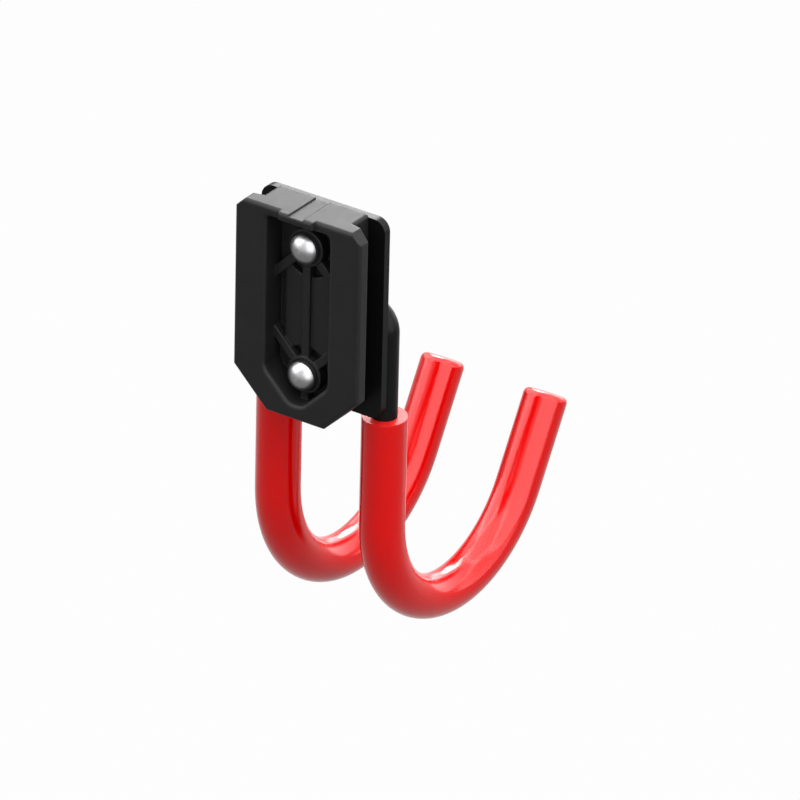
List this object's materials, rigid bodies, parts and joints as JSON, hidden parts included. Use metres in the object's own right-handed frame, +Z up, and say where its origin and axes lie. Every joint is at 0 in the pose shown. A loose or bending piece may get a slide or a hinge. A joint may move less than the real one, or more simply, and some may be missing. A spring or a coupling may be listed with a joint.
{
  "type": "wall utility hook",
  "caption": "Slide-in wall hook: parallel J arms of one bent steel rod in thick soft sleeves, on a plate riveted to a moulded rail cleat.",
  "frame": {"origin": "middle of the cleat's bottom edge, in the plane of its wall-side face, at the rail_slide mount", "axes": "X across the plate, Y out of the wall-side face towards the wall, Z up; the arms reach towards -Y"},
  "size_m": [0.0624, 0.139, 0.1821],
  "materials": {
    "cleat_plastic": "fine matt moulding, black",
    "black_steel": "satin black coating on steel",
    "red_sleeve": "smooth soft sleeve with a light sheen, red",
    "rivet_steel": "bright, lightly polished"
  },
  "bodies": {
    "root": {"cleat": "cleat_plastic", "back_plate": "black_steel", "hook_rod": "black_steel", "left_weld": "black_steel", "right_weld": "black_steel", "left_sleeve": "red_sleeve", "right_sleeve": "red_sleeve", "upper_rivet": "rivet_steel", "lower_rivet": "rivet_steel"}
  },
  "joints": []
}
